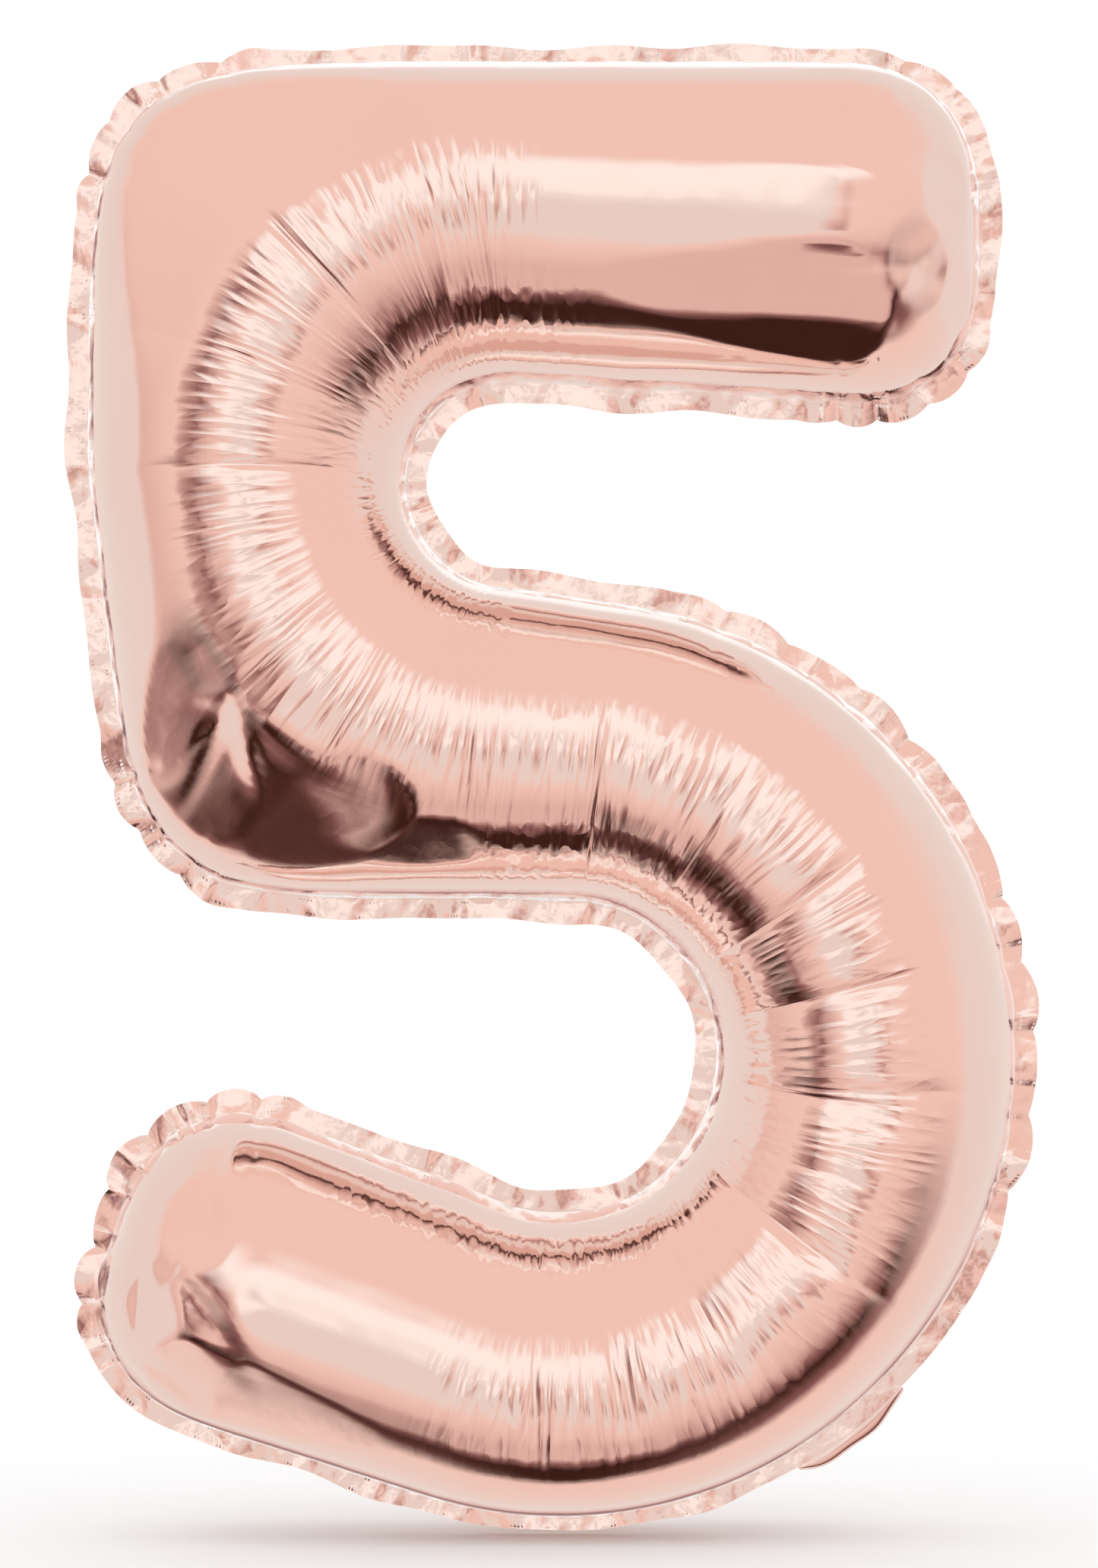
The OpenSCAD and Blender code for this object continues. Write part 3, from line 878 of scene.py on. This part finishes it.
def film_with_painted_light(name, dark, light, roughness):
    """Coloured mirror film. Where other film reflects it, its colour is painted paler than it really is, and
    after two reflections it glows a plain pale colour: both are painted light.
    """
    material, shader = new_material(name)
    tree = material.node_tree
    masks = add_group(material, GRAIN, Grain=0.10, Tone=0.9, Grain_size=0.0012, Tone_size=0.09)
    tone = maths(tree, "ADD", masks["Tone mask"], 0.5)
    # Painted reflection: where other film reflects this film, its colour is painted paler than it really is
    painted_pale_reflection = tree.nodes.new("ShaderNodeMix")
    painted_pale_reflection.data_type = "RGBA"
    painted_pale_reflection.inputs["B"].default_value = (0.97, 0.90, 0.87, 1)
    tree.links.new(tree.nodes.new("ShaderNodeLightPath").outputs["Is Glossy Ray"], painted_pale_reflection.inputs["Factor"])
    tree.links.new(mixed_colour(tree, tone, dark, light), painted_pale_reflection.inputs["A"])
    tree.links.new(painted_pale_reflection.outputs["Result"], shader.inputs["Base Color"])
    rough = maths(tree, "ADD", maths(tree, "ADD", masks["Grain mask"], roughness),
                  maths(tree, "MULTIPLY", masks["Tone mask"], 0.06))
    tree.links.new(rough, shader.inputs["Roughness"])
    shader.inputs["Metallic"].default_value = 1.0
    on_rim = maths(tree, "LESS_THAN", read_attribute(tree, "across_mm"), ON_RIM / 2)
    pleat = read_attribute(tree, "pleat")
    relief = even_pleats(tree, 7.0, 0.42, pleat)
    # Pleats by pitch, length, height and mask, then dents by size, height and mask, in millimetres
    more = (
        pleat_relief(tree, 7.0, 60.0, 1.2, pleat),
        pleat_relief(tree, 19.0, 90.0, 1.6, pleat),
        pleat_relief(tree, 9.0, 22.0, 1.0, read_attribute(tree, "seam_pleat")),
        crinkle_relief(tree, 15.0, 1.1, on_rim),
        crinkle_relief(tree, 4.5, 0.2, on_rim),
        crinkle_relief(tree, 34.0, 0.5, 1.0),
        crinkle_relief(tree, 0.7, 0.008, 1.0),
    )
    for part in more:
        relief = maths(tree, "ADD", relief, part)
    bump = tree.nodes.new("ShaderNodeBump")
    bump.inputs["Distance"].default_value = MM
    tree.links.new(relief, bump.inputs["Height"])
    tree.links.new(bump.outputs[0], shader.inputs["Normal"])
    # After two reflections the film glows with a fixed pale colour instead of reflecting, so tight folds
    # don't go black: painted light
    plain = tree.nodes.new("ShaderNodeEmission")
    tree.links.new(mixed_colour(tree, tone, PAINTED_GLOW_LOW, PAINTED_GLOW_HIGH), plain.inputs["Color"])
    deep = maths(tree, "GREATER_THAN", tree.nodes.new("ShaderNodeLightPath").outputs["Glossy Depth"], 1.5)
    choose = tree.nodes.new("ShaderNodeMixShader")
    tree.links.new(deep, choose.inputs["Fac"])
    tree.links.new(shader.outputs[0], choose.inputs[1])
    tree.links.new(plain.outputs[0], choose.inputs[2])
    output = next(node for node in tree.nodes if node.bl_idname == "ShaderNodeOutputMaterial")
    tree.links.new(choose.outputs[0], output.inputs["Surface"])
    return material


rose_film = film_with_painted_light("rose_gold_film", (0.862, 0.515, 0.425), (0.895, 0.560, 0.470), 0.055)

# %% Panels
skin_n = rib_n * (ACROSS + 1)
grid_id = np.arange(skin_n).reshape(rib_n, ACROSS + 1)
border = grid_id[loop_i, loop_j]
border_n = len(border)
# How far the rear panel's pleats are shifted along, in pitches
REAR_SHIFT = 137.5
# pitch, length, depth, crease width as a share of the pitch, mask
PLEAT_PASSES = [
    (13.0, 70.0, 0.35, 0.4, "pleat"),
    (8.5, 26.0, 0.2, 0.4, "seam_pleat"),
]


def sharp_seam(mesh):
    """The film turns sharply from the bulging body into the flat rim."""
    ends = np.empty(2 * len(mesh.edges), np.int32)
    mesh.edges.foreach_get("vertices", ends)
    on_seam = np.isin(ends.reshape(-1, 2), border).all(axis=1)
    mesh.attributes.new("sharp_edge", "BOOLEAN", "EDGE").data.foreach_set("value", on_seam)


def foil_panel(name, facing, shift):
    """One foil panel. facing is -1 for the front panel and 1 for the rear one."""
    depth = folded_height - valley * np.sin(turn_angle)[None] ** 0.35
    depth = np.maximum(depth, 0.02 * height)
    skin_plane = front_plane if facing < 0 else plane
    skin_points = to_frame(skin_plane, facing * (HALF_GAP + depth))
    rows = [rim_row(r) for r in np.linspace(0, 1, RIM_ROWS + 1)[1:]]
    rim_points = [to_frame(p, wave + facing * HALF_GAP) for p, wave in rows]
    points = np.concatenate([skin_points.reshape(-1, 3), *rim_points])
    rim_ids = skin_n + np.arange(RIM_ROWS * border_n).reshape(RIM_ROWS, border_n)
    strip = np.concatenate([border[None], rim_ids]).T
    strip_quads = strip.ravel()[grid_quads(border_n, RIM_ROWS + 1, closed=True)]
    quads = np.concatenate([grid_quads(rib_n, ACROSS + 1), strip_quads[:, ::-1]])
    if facing > 0:
        quads = quads[:, ::-1]
    rim_n = RIM_ROWS * border_n
    half_round = np.pi * PANEL_RISE
    attributes = {
        "along_mm": np.concatenate([np.repeat(along, ACROSS + 1), np.tile(seam_at, RIM_ROWS)]),
        "across_mm": np.concatenate([(share * half_round).ravel(), np.full(rim_n, ON_RIM)]),
        "pleat": np.concatenate([pleat_depth.ravel(), np.zeros(rim_n)]),
        "seam_pleat": np.concatenate([seam_depth.ravel(), np.zeros(rim_n)]),
    }
    piece = mesh_object(name, points, quads, attributes)
    sharp_seam(piece.data)
    for pitch, length, depth_mm, crease_w, mask in PLEAT_PASSES:
        run_tree(piece, PLEATS, {
            "Pitch": pitch, "Length": length, "Depth": depth_mm, "Crease width": crease_w,
            "Shift": shift, "Mask": mask, "Material": rose_film})
    return piece


front_panel = foil_panel("front_foil_sheet", -1, 0.0)
rear_panel = foil_panel("rear_foil_sheet", 1, REAR_SHIFT)
print("triangles in each panel:", 2 * len(front_panel.data.polygons))

# %% [markdown]
# ## The weld
# Between the two rims the films are fused. The weld is a thin band that follows the same wavy
# surface, nearly to the edge, and it stops on each side of the valve, which passes through it.

# %% Weld band
weld_material = film_with_painted_light("fused_edge_film", (0.86, 0.60, 0.52), (0.90, 0.66, 0.58), 0.22)
WELD_REACH = (0.12, 0.4, 0.7, 0.985)
WELD_HALF = HALF_GAP * 0.85
VALVE_W = 40
WELD_CLEAR = 9

from_tie = np.linalg.norm(seam - TIE_POINT, axis=1)
welded = np.roll(np.arange(border_n), -int(np.argmin(from_tie)))
welded = welded[from_tie[welded] > VALVE_W / 2 + WELD_CLEAR]


def weld_row(reach, facing):
    """One row of the weld's points, on its front side (-1) or its rear side (1)."""
    plane_point, wave = rim_row(reach)
    return to_frame(plane_point[welded], wave[welded] + facing * WELD_HALF)


front_rows = [weld_row(reach, -1) for reach in WELD_REACH]
rear_rows = [weld_row(reach, 1) for reach in WELD_REACH]
ring_points = np.stack(front_rows + rear_rows[::-1], 1)
ring_size = ring_points.shape[1]
ids = np.arange(ring_points.shape[0] * ring_size).reshape(-1, ring_size)
wrapped = np.concatenate([ids, ids[:, :1]], 1)
band_quads = wrapped.ravel()[grid_quads(len(wrapped), ring_size + 1)]
caps = []
for row in (ids[0], ids[-1][::-1]):
    for k in range(ring_size // 2 - 1):
        caps.append([row[k], row[k + 1], row[ring_size - 2 - k], row[ring_size - 1 - k]])
weld = mesh_object("rim_weld", ring_points.reshape(-1, 3), np.concatenate([band_quads, np.array(caps)]))
weld.data.materials.append(weld_material)
print("weld band faces:", len(weld.data.polygons))

# %% [markdown]
# ## The tail and the valve
# The balloon is filled through a tail of the same two films. It is folded back behind the figure,
# and the fold shows as a soft lobe past the rim. Two narrow strips of clear film run down its
# middle and into the balloon: gas parts them on its way in and presses them shut afterwards. All
# layers follow one crumpled middle surface, each at its own distance from it.

# %% Layers of the tail
TAIL_FOLD = np.radians(110)
TAIL_LEN = 86
TAIL_ROOT_W = 68
TAIL_END_W = 56
TAIL_WELD_W = 5
# Points of the middle line from the rim over the fold: outwards and through the balloon
FOLD_LINE = np.array([
    (0, 0), (2.6, 0.0), (5.0, 1.2), (5.6, 3.4), (4.0, 6.2), (0.6, 9.6), (-4.8, 13.2),
], float)
tail_dir = np.array([np.cos(TAIL_FOLD), np.sin(TAIL_FOLD)])
rest_of_tail = np.linspace(22, TAIL_LEN, 9)[:, None] * tail_dir
rim_out = TIE_POINT / np.linalg.norm(TIE_POINT)
rim_along = np.array([-rim_out[1], rim_out[0]])


def spline(points, per_span):
    """A smooth line through points, with per_span steps between each two."""
    padded = np.concatenate([2 * points[:1] - points[1:2], points, 2 * points[-1:] - points[-2:-1]])
    t = np.linspace(0, 1, per_span, endpoint=False)[:, None]
    parts = []
    for p0, p1, p2, p3 in zip(padded, padded[1:], padded[2:], padded[3:]):
        parts.append(0.5 * (2 * p1 + (p2 - p0) * t + (2 * p0 - 5 * p1 + 4 * p2 - p3) * t ** 2
                            + (3 * p1 - p0 - 3 * p2 + p3) * t ** 3))
    return np.concatenate(parts + [points[-1:]])


tail_line = spline(np.concatenate([FOLD_LINE, rest_of_tail]), 7)
tail_steps = np.linalg.norm(np.diff(tail_line, axis=0), axis=1)
tail_at = np.concatenate([[0], np.cumsum(tail_steps)])
way = np.gradient(tail_line, axis=0)
way /= np.linalg.norm(way, axis=1)[:, None]
tail_side = np.stack([-way[:, 1], way[:, 0]], -1)
print("tail's middle line, mm:", tail_at[-1].round(1))


def crumple(at, side):
    """Height of the tail's middle surface over its flat plane."""
    grow = np.clip(at / 25, 0, 1)
    long_folds = 0.9 * np.sin(side / 9.5 + 0.03 * at) + 0.5 * np.sin(side / 4.3 - 0.05 * at + 1.0)
    cross_folds = 0.7 * np.sin(at / 11.0 + side / 30) + 0.25 * np.sin(at / 4.1 + side / 9)
    return grow * (long_folds + cross_folds)


def tail_layer(name, layer_gap, edge_gap, widths, shares, skipped=None):
    """One film of the tail. Its distance from the middle surface narrows to edge_gap at its sides."""
    at = tail_at[:, None]
    half = np.interp(at, (0, tail_at[-1]), (widths[0] / 2, widths[1] / 2))
    side = half * shares[None]
    columns = len(shares)
    from_edge = half - np.abs(side)
    open_share = soft_step(from_edge, 0.5, TAIL_WELD_W + 2) * soft_step(at, 0, 14)
    gap = edge_gap + (layer_gap - edge_gap) * open_share
    lift = crumple(at, side) + gap
    rim_bow = side ** 2 / (2 * (BOWL_OUT_R + RIM_W)) * np.clip(1 - at / 12, 0, 1)
    fullness = 1.25 - 1.2 * (np.abs(side) / (TAIL_ROOT_W / 2)) ** 2.6 + 0.12 * np.sin(side / 5.0)
    line_out, line_through = tail_line[:, :1], tail_line[:, 1:]
    fold_out = np.clip(line_out, 0, None) * fullness + np.clip(line_out, None, 0)
    out = fold_out + tail_side[:, :1] * lift - rim_bow
    through = line_through + tail_side[:, 1:] * lift
    flat = TIE_POINT + out[..., None] * rim_out + side[..., None] * rim_along
    rows_n = len(tail_line)
    quads = grid_quads(rows_n, columns)
    if skipped is not None:
        quads = np.delete(quads.reshape(rows_n - 1, columns - 1, 4), skipped, axis=1).reshape(-1, 4)
    if layer_gap > 0:
        quads = quads[:, ::-1]
    attributes = {
        "along_mm": np.broadcast_to(side, flat.shape[:2]).ravel(),
        "across_mm": np.broadcast_to(at, flat.shape[:2]).ravel(),
    }
    return mesh_object(name, to_frame(flat, through).reshape(-1, 3), quads, attributes)


# %% Films of the tail and the valve
film_material, film_shader = new_material("clear_valve_film")
film_masks = add_group(film_material, GRAIN, Grain=0.15, Tone=0.6, Grain_size=0.0008, Tone_size=0.02)
film_tree = film_material.node_tree
film_tone = maths(film_tree, "ADD", film_masks["Tone mask"], 0.5)
film_tree.links.new(mixed_colour(film_tree, film_tone, (0.78, 0.78, 0.76), (0.88, 0.88, 0.87)),
                    film_shader.inputs["Base Color"])
film_tree.links.new(maths(film_tree, "ADD", film_masks["Grain mask"], 0.3), film_shader.inputs["Roughness"])
film_shader.inputs["IOR"].default_value = 1.5

print_material, print_shader = new_material("throat_print_ink")
print_masks = add_group(print_material, GRAIN, Grain=0.3, Tone=0.8, Grain_size=0.0007, Tone_size=0.01)
print_tone = maths(print_material.node_tree, "ADD", print_masks["Tone mask"], 0.5)
print_material.node_tree.links.new(
    mixed_colour(print_material.node_tree, print_tone, (0.45, 0.62, 0.76), (0.56, 0.71, 0.83)),
    print_shader.inputs["Base Color"])
print_shader.inputs["Roughness"].default_value = 0.6

tail_widths = (TAIL_ROOT_W, TAIL_END_W)
evenly = np.linspace(-1, 1, 47)
tail_front = tail_layer("tail_front_sheet", -0.6, -HALF_GAP, tail_widths, evenly)
tail_rear = tail_layer("tail_rear_sheet", 0.6, HALF_GAP, tail_widths, evenly)
weld_shares = np.concatenate([np.linspace(-1, -0.85, 5), np.linspace(0.85, 1, 5)])
tail_welds = tail_layer("tail_side_bands", 0.0, 0.0, tail_widths, weld_shares, skipped=4)
tail_front.data.materials.append(rose_film)
tail_rear.data.materials.append(rose_film)
tail_welds.data.materials.append(weld_material)
valve_widths = (VALVE_W, VALVE_W)
tail_valve_front = tail_layer("tail_valve_front_strip", -0.22, -0.1, valve_widths, evenly[::2])
tail_valve_rear = tail_layer("tail_valve_rear_strip", 0.22, 0.1, valve_widths, evenly[::2])

# %% Valve films inside the balloon
VALVE_END = -99
FLAP_START = -17.5
PRINT_W = 28


def valve_strip(name, start, stop, width, gap, material):
    """A flat film in the rim and behind it, with slow ripples once it is inside the balloon."""
    out = np.linspace(start, stop, max(int((stop - start) / 1.5), 4))[:, None]
    side = np.linspace(-width / 2, width / 2, 25)[None]
    inside = np.clip((FLAP_START - out) / 30, 0, 1)
    ripple = inside * (0.5 * np.sin(out / 12.0 + side / 25) + 0.25 * np.sin(side / 5.0 + out / 40))
    bow = side ** 2 / (2 * (BOWL_OUT_R + RIM_W))
    flat = TIE_POINT + (out - bow)[..., None] * rim_out + (side + 0 * out)[..., None] * rim_along
    through = gap * (1 + 2 * inside) + ripple
    piece = mesh_object(name, to_frame(flat, through).reshape(-1, 3), grid_quads(len(out), 25))
    piece.data.materials.append(material)
    return piece


valve_rear = valve_strip("valve_rear_strip", VALVE_END, 0, VALVE_W, 0.12, film_material)
valve_throat = valve_strip("valve_throat_strip", FLAP_START + 0.5, 0, VALVE_W, -0.12, film_material)
valve_flap = valve_strip("valve_flap_strip", VALVE_END, FLAP_START, VALVE_W, -0.12, film_material)
throat_print = valve_strip("throat_print_strip", FLAP_START + 0.5, 0, PRINT_W, 0.0, print_material)
for strip in (tail_valve_front, tail_valve_rear):
    strip.data.materials.append(film_material)

# %% Attach the pieces and hide the parts they replace
SHOWN = (
    (front_panel, "rose_gold_foil", ("front_foil_panel",)),
    (rear_panel, "rose_gold_foil", ("rear_foil_panel",)),
    (weld, "fused_edge", ("perimeter_weld",)),
    (valve_rear, "valve_film", ("valve_rear_film",)),
    (valve_throat, "valve_film", ("valve_throat_film",)),
    (throat_print, "throat_print", ("heat_resist_print",)),
)
for piece, slot_name, nodes in SHOWN:
    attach(piece, "root")
    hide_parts(*nodes)
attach(valve_flap, "valve_flap")
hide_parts("valve_front_flap")
FOLDED = (
    (tail_front, "rose_gold_foil", ("tail_front_foil",)),
    (tail_welds, "fused_edge", ("tail_side_welds",)),
    (tail_rear, "rose_gold_foil", ("tail_rear_foil",)),
    (tail_valve_front, "valve_film", ("tail_valve_front_film",)),
    (tail_valve_rear, "valve_film", ("tail_valve_rear_film",)),
)


def frame_point(out, through):
    flat = TIE_POINT + out * rim_out
    return [float(x) for x in to_frame(flat[None], np.array([through]))[0]]


for piece, slot_name, nodes in FOLDED:
    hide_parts(*nodes)
    frame_point(*(1.0 * tail_dir))
    frame_point(*(10.0 * tail_dir))
    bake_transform(piece)

# %% [markdown]
# ## The room that the foil reflects
# A mirror shows what is round it, so the room is drawn as carefully as the balloon. It has a soft
# box in front, a dark cloth low down, a dark flag at the left, and pale walls behind with a bright
# band high up and a dark one low down, so that the back of the balloon has shape too.
# The room is laid out round the line from the balloon to the front: how far off that line a thing
# stands, and in which of eight directions. Only mirror rays see it. Everything else is lit by an
# even pale sky, so that the floor stays plain.

# %% Tones of the room
TONES = {
    "deep": (0.05, 0.022, 0.019), "dark": (0.30, 0.19, 0.20), "dusk": (0.62, 0.52, 0.52),
    "shade": (0.86, 0.80, 0.80), "even": (1.0, 1.0, 1.0), "pale": (0.93, 1.12, 1.18),
    "soft": (1.0, 1.25, 1.33), "glow": (1.16, 1.5, 1.62),
}
# Direction round the front line, in degrees from the right, and tones by degrees off that line
ROOM = {
    0: [(0, "soft"), (6, "pale"), (11, "even"), (16, "shade"), (22, "even"), (74, "even"), (90, "pale"),
        (140, "pale"), (152, "even"), (180, "even")],
    45: [(0, "soft"), (10, "soft"), (14, "glow"), (32, "glow"), (38, "even"), (90, "even"), (108, "pale"),
         (140, "pale"), (146, "glow"), (158, "glow"), (164, "even"), (180, "even")],
    90: [(0, "soft"), (3, "glow"), (22, "glow"), (28, "even"), (104, "even"), (114, "pale"), (136, "pale"),
         (142, "glow"), (158, "glow"), (164, "even"), (180, "even")],
    135: [(0, "soft"), (8, "pale"), (16, "glow"), (36, "glow"), (42, "even"), (90, "even"), (100, "pale"),
          (140, "pale"), (146, "glow"), (158, "glow"), (164, "even"), (180, "even")],
    180: [(0, "soft"), (4, "glow"), (16, "glow"), (21, "even"), (32, "dusk"), (37, "dark"), (46, "dusk"),
          (52, "even"), (80, "shade"), (86, "pale"), (140, "pale"), (152, "even"), (180, "even")],
    225: [(0, "soft"), (4, "pale"), (20, "pale"), (26, "even"), (40, "shade"), (46, "dark"), (54, "deep"),
          (65, "deep"), (74, "dark"), (80, "even"), (96, "pale"), (136, "pale"), (146, "shade"),
          (154, "dark"), (162, "shade"), (170, "even"), (180, "even")],
    270: [(0, "soft"), (4, "pale"), (24, "pale"), (30, "even"), (44, "shade"), (57, "shade"), (62, "dark"),
          (68, "deep"), (80, "deep"), (88, "even"), (136, "pale"), (144, "shade"), (151, "dark"),
          (158, "dusk"), (168, "even"), (180, "even")],
    315: [(0, "soft"), (5, "pale"), (10, "shade"), (16, "dusk"), (22, "even"), (40, "shade"), (48, "dusk"),
          (56, "dark"), (64, "deep"), (78, "dark"), (88, "even"), (136, "pale"), (146, "shade"),
          (154, "dark"), (162, "shade"), (170, "even"), (180, "even")],
}

# %% Room
world = bpy.data.worlds.new("Studio")
bpy.context.scene.world = world
world.use_nodes = True
tree = world.node_tree
tree.nodes.clear()


def ramp(value, stops, whole):
    node = tree.nodes.new("ShaderNodeValToRGB")
    while len(node.color_ramp.elements) < len(stops):
        node.color_ramp.elements.new(0.5)
    for element, (at, tone) in zip(node.color_ramp.elements, stops):
        element.position = at / whole
        element.color = (*TONES[tone], 1)
    tree.links.new(value, node.inputs["Fac"])
    return node.outputs["Color"]


def blended(kind, share, first, second):
    node = tree.nodes.new("ShaderNodeMix")
    node.data_type = "RGBA"
    node.blend_type = kind
    for key, value in (("Factor", share), ("A", first), ("B", second)):
        if isinstance(value, bpy.types.NodeSocket):
            tree.links.new(value, node.inputs[key])
        else:
            node.inputs[key].default_value = value
    return node.outputs["Result"]


ray = tree.nodes.new("ShaderNodeSeparateXYZ")
tree.links.new(tree.nodes.new("ShaderNodeTexCoord").outputs["Generated"], ray.inputs[0])
to_front = maths(tree, "MULTIPLY", ray.outputs["Y"], -1.0)
off_front = maths(tree, "DIVIDE", maths(tree, "ARCCOSINE", to_front), np.pi)
bearing = maths(tree, "ARCTAN2", ray.outputs["Z"], ray.outputs["X"])
room = None
for degrees, stops in ROOM.items():
    tone = ramp(off_front, stops, 180)
    turned = maths(tree, "SUBTRACT", bearing, float(np.radians(degrees)))
    near = maths(tree, "GREATER_THAN", maths(tree, "COSINE", turned), float(np.cos(np.pi / 4)))
    fade = maths(tree, "ABSOLUTE", maths(tree, "COSINE", maths(tree, "MULTIPLY", turned, 2.0)))
    weight = maths(tree, "MULTIPLY", near, maths(tree, "POWER", fade, 2.0))
    part = blended("MIX", weight, (0.0, 0.0, 0.0, 1.0), tone)
    room = part if room is None else blended("ADD", 1.0, room, part)
mirror_light = tree.nodes.new("ShaderNodeBackground")
tree.links.new(room, mirror_light.inputs["Color"])
plain_light = tree.nodes.new("ShaderNodeBackground")
plain_light.inputs["Color"].default_value = (1, 1, 1, 1)
plain_light.inputs["Strength"].default_value = 1.06
paths = tree.nodes.new("ShaderNodeLightPath")
choose = tree.nodes.new("ShaderNodeMixShader")
tree.links.new(paths.outputs["Is Glossy Ray"], choose.inputs["Fac"])
tree.links.new(plain_light.outputs[0], choose.inputs[1])
tree.links.new(mirror_light.outputs[0], choose.inputs[2])
sky = tree.nodes.new("ShaderNodeOutputWorld")
tree.links.new(choose.outputs[0], sky.inputs["Surface"])
bpy.context.scene.view_settings.view_transform = "Standard"

# %% Floor
low = min(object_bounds()[0][2], cad_box[0][2])
bpy.ops.mesh.primitive_plane_add(size=30, location=(0, 0, low - 0.001))
floor = bpy.context.object
floor.name = "studio_floor"
floor_paint, shader = new_material("floor_paint")
shader.inputs["Base Color"].default_value = (0.98, 0.98, 0.98, 1)
shader.inputs["Roughness"].default_value = 0.9
floor.data.materials.append(floor_paint)
floor.visible_glossy = False

# %% Camera
FRAME_H = 0.807
FAR = 4.0
SHIFT_X = -0.0014
SHIFT_Z = 0.0027
centre = (cad_box[0] + cad_box[1]) / 2
camera_data = bpy.data.cameras.new("camera")
camera = bpy.data.objects.new("camera", camera_data)
bpy.context.scene.collection.objects.link(camera)
bpy.context.scene.camera = camera
camera_data.sensor_width = 36
camera_data.lens = 36 * FAR / FRAME_H
camera_data.clip_end = 100
camera.location = (centre.x + SHIFT_X, centre.y - FAR, centre.z + SHIFT_Z)
camera.rotation_euler = (np.pi / 2, 0, 0)
